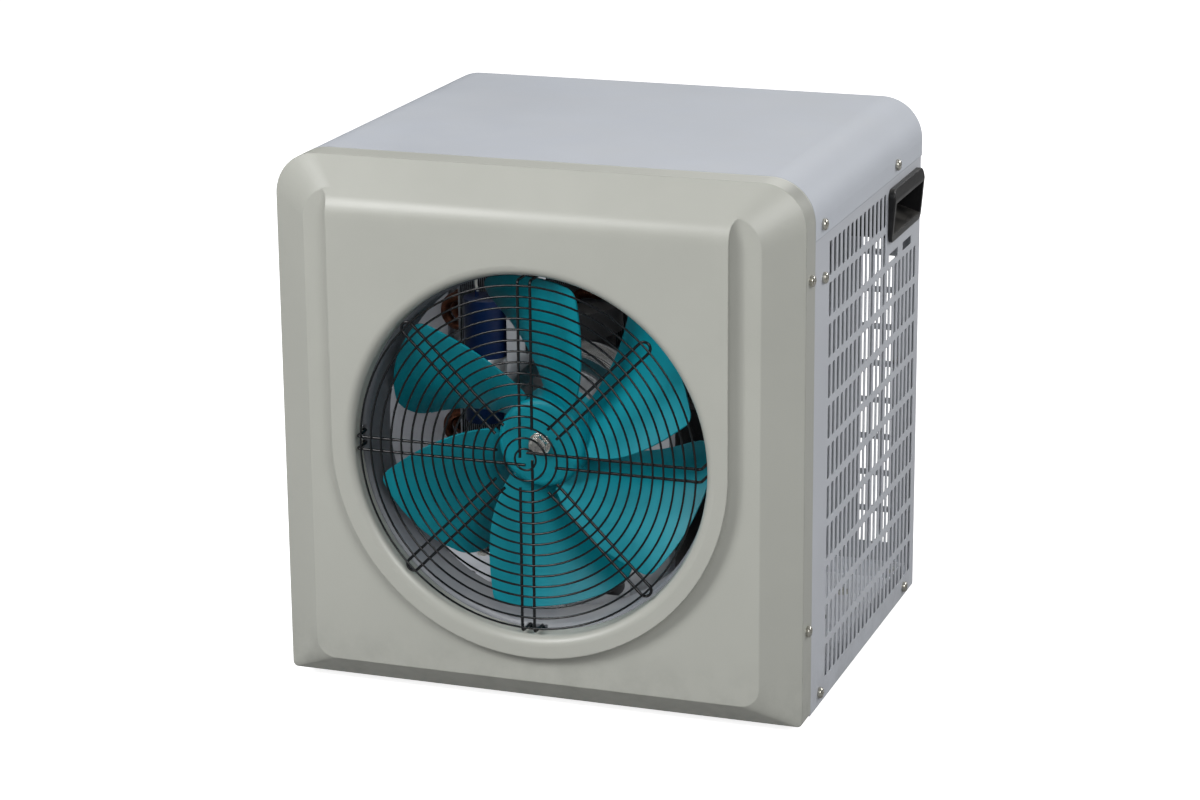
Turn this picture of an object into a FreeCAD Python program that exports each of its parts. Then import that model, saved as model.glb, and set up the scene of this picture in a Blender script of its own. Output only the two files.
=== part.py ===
import FreeCAD, Part
import os, math
from FreeCAD import Vector as V

# Small air-source heat pump for an above-ground pool: a steel cabinet with a moulded front, an axial fan
# behind a welded wire guard, a two-row evaporator at the rear, a hermetic compressor and a water heat exchanger.
# Frame: +X to the right as one faces the fan, +Y to the rear, +Z up. Origin on the ground, midway between the
# sides and midway between the guard and the ends of the hose tails. The pieces are drawn about the front
# panel's own plane and moved to that origin when they are written. Millimetres.

os.makedirs("parts", exist_ok=True)

# ---------------------------------------------------------------- driving dimensions
W = 410.0            # cabinet width over the front panel
D = 334.0            # cabinet depth, front panel edge to rear panel
TOP = 416.0          # height of the top over the ground
Z0 = 8.0             # underside of the cabinet
HW = W / 2
Y0 = -164.5          # plane of the front panel's outer edge
YR = Y0 + D          # outside of the rear panel
ORIGIN_Y = 22.95     # middle of the overall depth
R_TOP = 33.0         # radius of the two upper cabinet edges
FLANGE = 22.5        # depth of the front panel's wrap-round flange
T_F = 2.5            # front panel wall
T_S = 0.8            # sheet metal
BEVEL_X = 176.5      # half width of the outer field
BEVEL_Z = 25.5       # lower edge of the outer field
FIELD_Y = 16.5       # outer field stands this far in front of the edge
PAD_Y = 25.5         # raised pad stands this far in front of the edge
PAD_HW = 155.0       # half width of the pad, and the radius of its round lower end
COVE = 8.5           # hollow radius from the pad to the outer field
CREASE_R = 26.0      # radius where the top slope turns into the pad
PAD_TOP = 383.0      # height at which the slope reaches the pad
OPEN_Z = 203.0       # centre of the fan opening
OPEN_R = 137.5
LIP_R = 8.0
GUARD_PITCH = 8.2
GUARD_RINGS = 16
RING_D = 1.6
SPOKE_D = 2.2
SPOKE_GAP = 9.6      # distance between the two wires of a spoke pair
FAN_Z = 206.0
FAN_R = 127.0
HUB_R = 34.0
HUB_Y = Y0 + 5.5     # front face of the hub
N_BLADE = 6
BLADE_T = 2.4
SHROUD_R = 134.5
SLOT_W = 7.0
SLOT_H = 25.7
SLOT_PY = 11.95
SLOT_PZ = 31.13
SLOT_Y1 = Y0 + 67.15
SLOT_ZTOP = 361.3
SIDE_X = 204.15      # outside of the side panels
FOOT_H = 10.8
UNION_X = 62.0
UNION_Z = (92.0, 176.0)


def box(x0, x1, y0, y1, z0, z1):
    return Part.makeBox(x1 - x0, y1 - y0, z1 - z0, V(x0, y0, z0))


def cyl(r, p, d, h):
    return Part.makeCylinder(r, h, V(*p), V(*d))


def tube(ro, ri, p, d, h):
    return cyl(ro, p, d, h).cut(cyl(ri, p, d, h))


def wire_xz(pts, y):
    return Part.makePolygon([V(x, y, z) for x, z in pts] + [V(pts[0][0], y, pts[0][1])])


def rrect(hw, zb, zt, rt, rb, y):
    """Closed outline in the plane y: half width hw, from zb to zt, upper corners rt, lower corners rb."""
    s = math.sqrt(0.5)
    e = []
    e.append(Part.LineSegment(V(-hw + rb, y, zb), V(hw - rb, y, zb)).toShape())
    e.append(Part.Arc(V(hw - rb, y, zb), V(hw - rb + rb * s, y, zb + rb - rb * s), V(hw, y, zb + rb)).toShape())
    e.append(Part.LineSegment(V(hw, y, zb + rb), V(hw, y, zt - rt)).toShape())
    e.append(Part.Arc(V(hw, y, zt - rt), V(hw - rt + rt * s, y, zt - rt + rt * s), V(hw - rt, y, zt)).toShape())
    e.append(Part.LineSegment(V(hw - rt, y, zt), V(-hw + rt, y, zt)).toShape())
    e.append(Part.Arc(V(-hw + rt, y, zt), V(-hw + rt - rt * s, y, zt - rt + rt * s), V(-hw, y, zt - rt)).toShape())
    e.append(Part.LineSegment(V(-hw, y, zt - rt), V(-hw, y, zb + rb)).toShape())
    e.append(Part.Arc(V(-hw, y, zb + rb), V(-hw + rb - rb * s, y, zb + rb - rb * s), V(-hw + rb, y, zb)).toShape())
    return Part.Wire(e)


def prism(wire, dy):
    return Part.Face(wire).extrude(V(0, dy, 0))


def fuse(shapes):
    shapes = list(shapes)
    out = shapes[0].multiFuse(shapes[1:]) if len(shapes) > 1 else shapes[0]
    return out.removeSplitter()


def compound(shapes):
    return Part.makeCompound(list(shapes))


def revolve_y(pts, zc, arcs=None):
    """Solid of revolution about the Y axis at height zc. pts are (r, y), arcs maps an edge index to its mid point."""
    edges = []
    n = len(pts)
    for i in range(n):
        a, b = pts[i], pts[(i + 1) % n]
        if arcs and i in arcs:
            m = arcs[i]
            edges.append(Part.Arc(V(a[0], a[1], zc), V(m[0], m[1], zc), V(b[0], b[1], zc)).toShape())
        else:
            edges.append(Part.LineSegment(V(a[0], a[1], zc), V(b[0], b[1], zc)).toShape())
    return Part.Face(Part.Wire(edges)).revolve(V(0, 0, zc), V(0, 1, 0), 360)


def pipe(points, r, ri=None, bend=None):
    """Round tube along a polyline with rounded corners."""
    bend = bend or 2.2 * r
    P = [V(*p) for p in points]
    edges = []
    cur = P[0]
    for i in range(1, len(P) - 1):
        a, b = (P[i - 1] - P[i]), (P[i + 1] - P[i])
        la, lb = a.Length, b.Length
        a.normalize()
        b.normalize()
        ang = a.getAngle(b)
        k = min(bend / math.tan(ang / 2), la * 0.49, lb * 0.49)
        p1, p2 = P[i] + a * k, P[i] + b * k
        bis = (a + b)
        bis.normalize()
        rr = k * math.tan(ang / 2)
        c = P[i] + bis * (rr / math.sin(ang / 2))
        mid = c - bis * rr
        if (p1 - cur).Length > 1e-6:
            edges.append(Part.LineSegment(cur, p1).toShape())
        edges.append(Part.Arc(p1, mid, p2).toShape())
        cur = p2
    edges.append(Part.LineSegment(cur, P[-1]).toShape())
    path = Part.Wire(edges)
    d0 = P[1] - P[0]
    prof = Part.Wire(Part.makeCircle(r, P[0], d0))
    out = path.makePipeShell([prof], True, False)
    if ri:
        out = out.cut(path.makePipeShell([Part.Wire(Part.makeCircle(ri, P[0], d0))], True, False))
    return out


def pan_screw(p, d, head_r=4.3, head_h=3.2, shank_r=1.9, shank=9.0):
    """Pan head screw: its seat is at p and its head points along d. Cross recess in the head."""
    p, d = V(*p), V(*d)
    head = Part.makeCylinder(head_r, head_h, p, d)
    try:
        e = [x for x in head.Edges if abs((x.CenterOfMass - (p + d * head_h)).Length) < 1e-3 and x.Closed]
        head = head.makeFillet(min(head_h, head_r) * 0.62, e[:1])
    except Exception:
        pass
    body = head.fuse(Part.makeCylinder(shank_r, shank, p, d * -1))
    u = d.cross(V(0, 0, 1) if abs(d.z) < 0.9 else V(1, 0, 0))
    u.normalize()
    v = d.cross(u)
    for q in (u, v):
        o = d.cross(q)
        c = p + d * (head_h - 1.1)
        a = c - q * 1.9 - o * 0.4
        pts = [a, a + q * 3.8, a + q * 3.8 + o * 0.8, a + o * 0.8, a]
        body = body.cut(Part.Face(Part.makePolygon(pts)).extrude(d * 3.0))
    return body


out = {}

# ---------------------------------------------------------------- fasteners: positions
FR_SCREW = [(s * HW, Y0 + 11.5, z) for s in (-1, 1) for z in (79.5, 344.5)]
TOP_SCREW = [(s * HW, Y0 + y, 378.8) for s in (-1, 1) for y in (43.0, 253.0)]
SIDE_SCREW = [(s * SIDE_X, Y0 + y, z) for s in (-1, 1) for y, z in ((48.5, 338.0), (48.0, 17.8), (302.0, 16.0))]
REAR_SCREW = [(x, YR, z) for x in (-188.0, 188.0) for z in (20.0, 200.0, 366.0)]


def drill(shape, pts, r=2.1, axis=0):
    for p in pts:
        d = [0, 0, 0]
        d[axis] = 1
        q = list(p)
        q[axis] -= 30
        shape = shape.cut(cyl(r, q, d, 60))
    return shape


# ---------------------------------------------------------------- front panel
def front_volume(o):
    """Outer form of the front, set in by o on every surface, without the opening."""
    flange = prism(rrect(HW - o, Z0 + o, TOP - o, R_TOP - o, 4.0 if o == 0 else 2.5, Y0 + 0.5 * o), FLANGE + 30)
    a = rrect(HW - o, Z0 + o, TOP - o, R_TOP - o, 4.0 if o == 0 else 2.5, Y0 + 0.5 * o)
    m = (TOP - PAD_TOP) / PAD_Y
    b = rrect(BEVEL_X - 0.27 * o, BEVEL_Z + 0.4 * o, TOP - m * FIELD_Y - 0.34 * o, 24.0, 15.0, Y0 - FIELD_Y + o)
    bevel = Part.makeLoft([a, b], True, True)
    # pad: a YZ profile with the rounded crease, extruded across
    yp = Y0 - PAD_Y + o
    k = o * math.sqrt(1 + m * m)
    zt = TOP - k                       # the slope at y = Y0
    zc = zt - m * (Y0 - yp)            # the slope at the pad plane
    ang = math.atan2(m, 1.0)           # slope from the Y axis
    half = (math.pi / 2 + ang) / 2
    r = CREASE_R - o
    turn = math.pi / 2 - ang           # the surface turns by this much at the crease
    tlen = r * math.tan(turn / 2)
    p1 = (yp + tlen * math.cos(ang), zc + tlen * math.sin(ang))
    p2 = (yp, zc - tlen)
    cy, cz = yp + r, zc - tlen
    am = math.pi - turn / 2
    pm = (cy + r * math.cos(am), cz + r * math.sin(am))
    ytop = Y0 - 6.0
    ztop = zt - m * (Y0 - ytop)
    yb = Y0 - 4.0
    hw = PAD_HW + COVE
    e = [
        Part.LineSegment(V(-hw, ytop, ztop), V(-hw, p1[0], p1[1])).toShape(),
        Part.Arc(V(-hw, *p1), V(-hw, *pm), V(-hw, *p2)).toShape(),
        Part.LineSegment(V(-hw, *p2), V(-hw, yp, 30)).toShape(),
        Part.LineSegment(V(-hw, yp, 30), V(-hw, yb, 30)).toShape(),
        Part.LineSegment(V(-hw, yb, 30), V(-hw, yb, ztop - 3)).toShape(),
        Part.LineSegment(V(-hw, yb, ztop - 3), V(-hw, ytop, ztop)).toShape(),
    ]
    pad = Part.Face(Part.Wire(e)).extrude(V(2 * hw, 0, 0))
    region = box(-hw, hw, Y0 - 60, Y0, OPEN_Z, TOP + 20).fuse(cyl(hw, (0, Y0 - 60, OPEN_Z), (0, 1, 0), 60))
    pad = pad.common(region)
    # cove cutter: round hollow along both sides and round the lower end
    yc = Y0 - PAD_Y + 0.5
    rc = COVE + o
    tor = Part.makeTorus(hw, rc, V(0, yc, OPEN_Z), V(0, 1, 0)).common(box(-250, 250, Y0 - 60, Y0, -50, OPEN_Z))
    ww = PAD_HW - o
    front = box(-250, 250, Y0 - 60, yc, -50, TOP + 60).cut(box(-ww, ww, Y0 - 61, yc + 1, OPEN_Z, TOP + 61)).cut(
        cyl(ww, (0, Y0 - 61, OPEN_Z), (0, 1, 0), 62))
    for c in (cyl(rc, (hw, yc, OPEN_Z), (0, 0, 1), 300), cyl(rc, (-hw, yc, OPEN_Z), (0, 0, 1), 300), tor, front):
        pad = pad.cut(c)
    # the pad ends inside the rounded upper corners of the outer field
    cx, cz = BEVEL_X - 0.27 * o - 24.0, TOP - m * FIELD_Y - 0.34 * o - 24.0
    for s in (-1, 1):
        x0, x1 = sorted((s * cx, s * 260))
        pad = pad.cut(box(x0, x1, Y0 - 60, Y0, cz, TOP + 60).cut(cyl(24.0, (s * cx, Y0 - 61, cz), (0, 1, 0), 62)))
        x0, x1 = sorted((s * 150, s * 260))
        pad = pad.cut(box(x0, x1, Y0 - FIELD_Y + o + 0.3, Y0, -10, TOP + 60))
    vol = flange.fuse(bevel).fuse(pad)
    return vol


def lip_cutter(r, rl, yface, yback):
    s = math.sqrt(0.5)
    c = (r + rl, yface + rl)
    return revolve_y([(0, yface - 6), (r + rl, yface - 6), (r + rl, yface), (r, yface + rl), (r, yback), (0, yback)],
                     OPEN_Z, {2: (c[0] - rl * s, c[1] - rl * s)})


outer = front_volume(0.0)
inner = front_volume(T_F)
blocker = lip_cutter(OPEN_R + T_F, LIP_R - T_F, Y0 - PAD_Y + T_F, Y0 - 8.0)
blocker = blocker.cut(box(-200, 200, Y0 - 60, Y0 - PAD_Y + T_F - 0.001, 0, 420))
inner = inner.cut(blocker)
panel = outer.cut(inner)
panel = panel.cut(lip_cutter(OPEN_R, LIP_R, Y0 - PAD_Y, Y0 + 80))
panel = panel.common(box(-260, 260, Y0 - 60, Y0 + FLANGE, 0, 500))
BOSS = [(math.cos(math.radians(a)) * 145.0, OPEN_Z + math.sin(math.radians(a)) * 145.0) for a in (50, 130, 230, 310)]
for bx, bz in BOSS:
    panel = panel.fuse(cyl(4.0, (bx, Y0 - PAD_Y + 1.5, bz), (0, 1, 0), PAD_Y - 1.5 - 7.0))
    panel = panel.fuse(cyl(1.9, (bx, Y0 - 10, bz), (0, 1, 0), 7.5))
panel = drill(panel, FR_SCREW)
out["front_panel"] = panel.removeSplitter()

# ---------------------------------------------------------------- fan guard
ys = Y0 - 24.4
yr = ys - (RING_D + SPOKE_D) / 2 + 0.3
rings = ([Part.makeTorus(GUARD_PITCH * (k + 1), RING_D / 2, V(0, yr, OPEN_Z), V(0, 1, 0)) for k in range(GUARD_RINGS)])


def guard_pair(deg, closed):
    """Two parallel spoke wires, either one closed hairpin or two wires with hooks behind the panel's collar."""
    h = SPOKE_GAP / 2
    r = SPOKE_D / 2
    made = []
    if closed:
        rin, rout = 29.0, 129.6
        e = [
            Part.LineSegment(V(rin, ys, h), V(rout, ys, h)).toShape(),
            Part.Arc(V(rout, ys, h), V(rout + h, ys, 0), V(rout, ys, -h)).toShape(),
            Part.LineSegment(V(rout, ys, -h), V(rin, ys, -h)).toShape(),
        ]
        made.append(Part.Wire(e).makePipeShell([Part.Wire(Part.makeCircle(r, V(rin, ys, h), V(1, 0, 0)))], True, False))
    else:
        for side, rin in ((h, 0.6), (-h, 22.6)):
            pts = [(rin, ys, side), (134.6, ys, side), (134.6, Y0 - 6.0, side), (143.5, Y0 - 6.0, side)]
            made.append(pipe(pts, r, bend=2.6))
    s = compound(made)
    s.rotate(V(0, 0, 0), V(0, 1, 0), -deg)
    s.translate(V(0, 0, OPEN_Z))
    return s


spokes = []
for i in range(8):
    spokes += guard_pair(45 * i, i % 2 == 1).Solids
out["fan_guard"] = rings[0].multiFuse(rings[1:] + spokes)

# ---------------------------------------------------------------- top cover
co = rrect(HW, 100, TOP, R_TOP, 3, Y0 + FLANGE + 0.4)
ylen = D - FLANGE - 0.4
lip_in = prism(rrect(HW - 9, 80, TOP - 9, R_TOP - 9, 3, Y0 + FLANGE + 10), ylen)
cover = prism(co, ylen).cut(prism(rrect(HW - T_S, 90, TOP - T_S, R_TOP - T_S, 3, Y0), YR - 1.2 - Y0))
cover = cover.cut(lip_in).cut(box(-300, 300, -300, 300, 0, 370.0)).cut(box(-HW + T_S, HW - T_S, YR - 1.2, YR + 20, 0, 386.0))
out["top_cover"] = drill(cover, TOP_SCREW)

# ---------------------------------------------------------------- side panels
HAND_Y = (Y0 + 231.7, Y0 + 325.5)
HAND_Z = (320.5, 363.0)
HAND_X = (2.8, 5.8)        # how far the bezel stands out at its lower and at its upper end
POCK_Y = (HAND_Y[0] + 4.4, HAND_Y[1] - 4.4)
POCK_Z = (HAND_Z[0] + 6.2, HAND_Z[1] - 11.0)


def slot(yc, zt, w=SLOT_W, h=SLOT_H, x=190.0, dx=30.0, r=2.0):
    """Punched slot with rounded corners, cut along X."""
    s = r * (1 - math.sqrt(0.5))
    y0, y1, z0, z1 = yc - w / 2, yc + w / 2, zt - h, zt
    e = [
        Part.LineSegment(V(x, y0 + r, z0), V(x, y1 - r, z0)).toShape(),
        Part.Arc(V(x, y1 - r, z0), V(x, y1 - s, z0 + s), V(x, y1, z0 + r)).toShape(),
        Part.LineSegment(V(x, y1, z0 + r), V(x, y1, z1 - r)).toShape(),
        Part.Arc(V(x, y1, z1 - r), V(x, y1 - s, z1 - s), V(x, y1 - r, z1)).toShape(),
        Part.LineSegment(V(x, y1 - r, z1), V(x, y0 + r, z1)).toShape(),
        Part.Arc(V(x, y0 + r, z1), V(x, y0 + s, z1 - s), V(x, y0, z1 - r)).toShape(),
        Part.LineSegment(V(x, y0, z1 - r), V(x, y0, z0 + r)).toShape(),
        Part.Arc(V(x, y0, z0 + r), V(x, y0 + s, z0 + s), V(x, y0 + r, z0)).toShape(),
    ]
    return Part.Face(Part.Wire(e)).extrude(V(dx, 0, 0))


CTRL_Y = (-104.0, 12.0)     # controller cut-out on the left side
CTRL_Z = (327.0, 367.0)


def side_panel(left):
    ztop = 382.0
    p = box(SIDE_X - T_S, SIDE_X, Y0 + FLANGE + 0.6, YR, Z0, ztop)
    web = box(200.6, SIDE_X, Y0 + FLANGE + 0.6, Y0 + FLANGE + 1.8, Z0 + 4, ztop)
    tab = box(200.6, 201.8, Y0 + 4.0, Y0 + FLANGE + 1.8, Z0 + 4, ztop - 6)
    p = fuse([p, web, tab])
    cut = []
    for j in range(11):
        zt = SLOT_ZTOP - j * SLOT_PZ
        for i in range(22):
            if left or (j < 2 and i > 13):
                continue
            cut.append(slot(SLOT_Y1 + i * SLOT_PY, zt))
    for yc, w in ((Y0 + 250.9, 28.4), (Y0 + 293.2, 27.4)):
        cut.append(slot(yc, 310.9, w, 7.0))
    cut.append(box(190, 220, POCK_Y[0] - 2.8, POCK_Y[1] + 2.8, POCK_Z[0] - 2.8, POCK_Z[1] + 2.8))
    if left:
        cut.append(box(190, 220, CTRL_Y[0] + 4, CTRL_Y[1] - 4, CTRL_Z[0] + 4, CTRL_Z[1] - 4))
    p = p.cut(compound(cut))
    if left:
        p = p.mirror(V(0, 0, 0), V(1, 0, 0))
    p = drill(p, [q for q in FR_SCREW + TOP_SCREW + SIDE_SCREW if (q[0] < 0) == left])
    return p


out["right_side_panel"] = side_panel(False)
out["left_side_panel"] = side_panel(True)


# ---------------------------------------------------------------- carrying handles
def handle():
    xo = SIDE_X + 0.05
    y0, y1 = HAND_Y
    z0, z1 = HAND_Z
    pts = [(xo, z0), (xo + HAND_X[0], z0), (xo + HAND_X[1], z1 - 8.5), (xo + HAND_X[1] - 1.4, z1), (xo, z1)]
    bez = Part.Face(Part.makePolygon([V(x, y0, z) for x, z in pts + [pts[0]]])).extrude(V(0, y1 - y0, 0))
    block = box(xo - 1, xo + 20, y0, y1, z0, z1)
    block = block.makeFillet(6.5, [e for e in block.Edges if abs(abs(e.tangentAt(e.FirstParameter).x) - 1) < 1e-6])
    bez = bez.common(block).Solids[0]
    bez = bez.makeFillet(1.3, [e for e in bez.Edges if all(v.Point.x > xo + 1.0 for v in e.Vertexes)])
    can = box(172.0, xo + 1, POCK_Y[0] - 2.2, POCK_Y[1] + 2.2, POCK_Z[0] - 2.2, POCK_Z[1] + 2.2)
    h = fuse([bez, can])
    # pocket: floor slopes down and outwards so that water runs off, roof is undercut for the fingers
    y0, y1 = POCK_Y
    z0, z1 = POCK_Z
    pts = [(xo + 12, z0 - 4), (xo + 2, z0), (176.0, z0 + 9.0), (174.5, z0 + 11), (174.5, z1 - 2.0), (178.0, z1), (xo + 12, z1)]
    cutter = Part.Face(Part.makePolygon([V(x, y0, z) for x, z in pts + [pts[0]]])).extrude(V(0, y1 - y0, 0))
    h = h.cut(cutter)
    return h


hr = handle()
out["right_handle"] = hr
out["left_handle"] = hr.mirror(V(0, 0, 0), V(1, 0, 0))

# ---------------------------------------------------------------- rear panel
rp = prism(rrect(203.1, Z0, TOP - 1.4 - 0.2, R_TOP - 1.4, 1.5, YR - 1.3 - T_S), T_S)
fl = box(201.0, 202.2, YR - 1.3 - 8, YR - 1.3, Z0, 380)
rp = fuse([rp, fl, fl.mirror(V(0, 0, 0), V(1, 0, 0))])
cut = []
YC = YR - 20
for j in range(11):
    zt = 356.0 - j * 29.4
    for x in [-176 + 13.2 * i for i in range(14)]:
        cut.append(box(x - 4.2, x + 4.2, YC, YC + 40, zt - 24.9, zt))
for j in range(10):
    zt = 348.4 - j * SLOT_PZ
    for x in (160.9, 171.2, 181.5):
        cut.append(box(x - 3.1, x + 3.1, YC, YC + 40, zt - 26.1, zt))
for z in UNION_Z:
    cut.append(cyl(24.0, (UNION_X, YC, z), (0, 1, 0), 40))
GLAND = (UNION_X + 42, 52.0)
cut.append(cyl(8.2, (GLAND[0], YC, GLAND[1]), (0, 1, 0), 40))
rp = rp.cut(compound(cut))
out["rear_panel"] = drill(rp, REAR_SCREW, axis=1)

# ---------------------------------------------------------------- base pan and feet
PAN_Z = 10.8
pan = box(-200.3, 200.3, Y0 + 4.5, YR - 3.0, PAN_Z, PAN_Z + T_S)
sf = box(201.0 - 1.9, 201.0 - 0.7, Y0 + 4.5, YR - 16, PAN_Z, 32)
ff = box(-200.3, 200.3, Y0 + FLANGE + 4, Y0 + FLANGE + 5.2, PAN_Z, 26)
bf = box(-200.3, 200.3, YR - 4.2, YR - 3.0, PAN_Z, 26)
pan = fuse([pan, sf, sf.mirror(V(0, 0, 0), V(1, 0, 0)), ff, bf])
FEET = [(sx * 158.0, y) for sx in (-1, 1) for y in (-104.0, 118.0)]
pan = drill(pan, [(x, y, PAN_Z) for x, y in FEET], 2.8, 2)
DRAIN = (-150.0, 60.0)
pan = pan.cut(cyl(8.0, (DRAIN[0], DRAIN[1], 0), (0, 0, 1), 30))
pan = drill(pan, [q for q in SIDE_SCREW if q[2] < 40])
pan = drill(pan, [q for q in REAR_SCREW if q[2] < 30], axis=1)
COMP = (98.0, 42.0)
CB = [(COMP[0] + 62 * math.cos(math.radians(a)), COMP[1] + 62 * math.sin(math.radians(a))) for a in (90, 210, 330)]
pan = drill(pan, [(x, y, PAN_Z) for x, y in CB], 3.2, 2)
out["base_pan"] = pan
feet, fscrews = [], []
for x, y in FEET:
    f = Part.makeCone(17.0, 15.0, PAN_Z - 0.02, V(x, y, 0), V(0, 0, 1))
    f = f.cut(cyl(8.0, (x, y, -1), (0, 0, 1), 5.5)).cut(cyl(2.8, (x, y, -1), (0, 0, 1), 20))
    feet.append(f)
    s = cyl(6.0, (x, y, 1.6), (0, 0, 1), 2.85).fuse(cyl(2.5, (x, y, 4.4), (0, 0, 1), 12.0))
    s = s.cut(box(x - 3.4, x + 3.4, y - 0.6, y + 0.6, 1.0, 3.0)).cut(box(x - 0.6, x + 0.6, y - 3.4, y + 3.4, 1.0, 3.0))
    nut = Part.Face(Part.makePolygon([V(x + 5 * math.cos(math.pi / 3 * i), y + 5 * math.sin(math.pi / 3 * i), PAN_Z + T_S + 0.02) for i in range(7)])).extrude(V(0, 0, 3.4))
    nut = nut.cut(cyl(2.52, (x, y, 0), (0, 0, 1), 30))
    fscrews += [s, nut]
out["rubber_feet"] = compound(feet)
out["foot_screws"] = compound(fscrews)

out["front_panel_screws"] = compound([pan_screw((p[0] + math.copysign(0.02, p[0]), p[1], p[2]), (math.copysign(1, p[0]), 0, 0)) for p in FR_SCREW])
out["top_cover_screws"] = compound([pan_screw((p[0] + math.copysign(0.02, p[0]), p[1], p[2]), (math.copysign(1, p[0]), 0, 0)) for p in TOP_SCREW])
out["side_panel_screws"] = compound([pan_screw((p[0] + math.copysign(0.02, p[0]), p[1], p[2]), (math.copysign(1, p[0]), 0, 0), shank=5.0) for p in SIDE_SCREW])
out["rear_panel_screws"] = compound([pan_screw((p[0], YR - 1.28, p[2]), (0, 1, 0)) for p in REAR_SCREW])

# ---------------------------------------------------------------- fan shroud
ya, yb = Y0 - 6.9, Y0 + 38.0
sh = revolve_y([(SHROUD_R, ya + 6), (SHROUD_R, yb), (SHROUD_R + 2.2, yb), (SHROUD_R + 2.2, ya + 6), (SHROUD_R + 6, ya + 2.2), (152.0, ya + 2.2), (152.0, ya), (SHROUD_R + 6, ya)], OPEN_Z,
               {7: (SHROUD_R + 1.76, ya + 1.76), 3: (SHROUD_R + 3.3, ya + 3.3)})
sh = sh.cut(compound([cyl(2.0, (bx, Y0 - 20, bz), (0, 1, 0), 40) for bx, bz in BOSS]))
hooks = []
for i in range(0, 8, 2):
    t = box(137.0, 146.5, ya - 1, Y0 - 4.2, -8.0, 8.0)
    t = t.fuse(box(132.5, 137.5, ya - 1, Y0 - 4.2, -8.0, 8.0))
    t.rotate(V(0, 0, 0), V(0, 1, 0), -45 * i)
    t.translate(V(0, 0, OPEN_Z))
    hooks.append(t)
sh = sh.cut(compound(hooks))
out["fan_shroud"] = sh

# ---------------------------------------------------------------- fan impeller
def lerp(tab, r):
    if r <= tab[0][0]:
        a, b = tab[0], tab[1]
    elif r >= tab[-1][0]:
        a, b = tab[-2], tab[-1]
    else:
        for a, b in zip(tab, tab[1:]):
            if a[0] <= r <= b[0]:
                break
    return a[1] + (b[1] - a[1]) * (r - a[0]) / (b[0] - a[0])


TH_F = [(30, 105.0), (46, 111.0), (61, 116.5), (82, 123.4), (102, 129.2), (127, 134.9)]     # trailing edge angle
TH_R = [(30, 162.0), (46, 165.8), (61, 169.3), (82, 174.0), (102, 178.5), (127, 183.8)]     # leading edge angle
Y_F = [(30, 10.0), (46, 4.0), (61, -2.0), (82, -6.5), (127, -9.0)]
Y_R = [(30, 36.5), (46, 39.5), (61, 42.8), (82, 46.7), (127, 55.3)]
MID = math.radians(150.0)


def smooth(tab, r):
    h = 12.0
    return (lerp(tab, r - h) + 2 * lerp(tab, r) + lerp(tab, r + h)) / 4


def blade_section(rp, n=9):
    """Closed outline of one blade where the plane at distance rp from the axis, square to the direction MID, cuts it."""
    def vlat(tab):
        v = 0.0
        for _ in range(40):
            r = math.hypot(rp, v)
            th = math.radians(smooth(tab, r)) - MID
            v = rp * math.tan(th)
        return v
    v0, v1 = vlat(TH_F), vlat(TH_R)
    r0, r1 = math.hypot(rp, v0), math.hypot(rp, v1)
    ya, yb = smooth(Y_F, r0), smooth(Y_R, r1)
    front, back = [], []
    for i in range(n):
        t = i / (n - 1)
        v = v0 + (v1 - v0) * t
        # the face falls away slowly at the trailing edge and steeper at the leading edge
        y = ya + (yb - ya) * (0.80 * t + 0.20 * t * t)
        dy = (yb - ya) * (0.80 + 0.40 * t)
        dv = v1 - v0
        ln = math.hypot(dy, dv)
        nv, ny = dy / ln, -dv / ln      # towards the front
        if ny > 0:
            nv, ny = -nv, -ny
        th = BLADE_T * (0.45 + 0.55 * math.sin(math.pi * min(max(t * 0.9 + 0.05, 0), 1))) / 2
        front.append((v + nv * th, y + ny * th))
        back.append((v - nv * th, y - ny * th))

    def pt(v, y):
        c, s = math.cos(MID), math.sin(MID)
        return V(rp * c - v * s, Y0 + y, FAN_Z + rp * s + v * c)
    b1, b2 = Part.BSplineCurve(), Part.BSplineCurve()
    f, g = [pt(*q) for q in front], [pt(*q) for q in back][::-1]
    b1.interpolate(f)
    b2.interpolate(g)
    return Part.Wire([b1.toShape(), Part.LineSegment(f[-1], g[0]).toShape(), b2.toShape(), Part.LineSegment(g[-1], f[0]).toShape()])


stations = [27.0, 42.0, 60.0, 80.0, 100.0, 118.0, 132.0]
blade = Part.makeLoft([blade_section(r) for r in stations], True, False)
blade = blade.common(cyl(FAN_R, (0, Y0 - 40, FAN_Z), (0, 1, 0), 130))
blade = blade.cut(cyl(HUB_R - 1.5, (0, Y0 - 40, FAN_Z), (0, 1, 0), 130))


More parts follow.
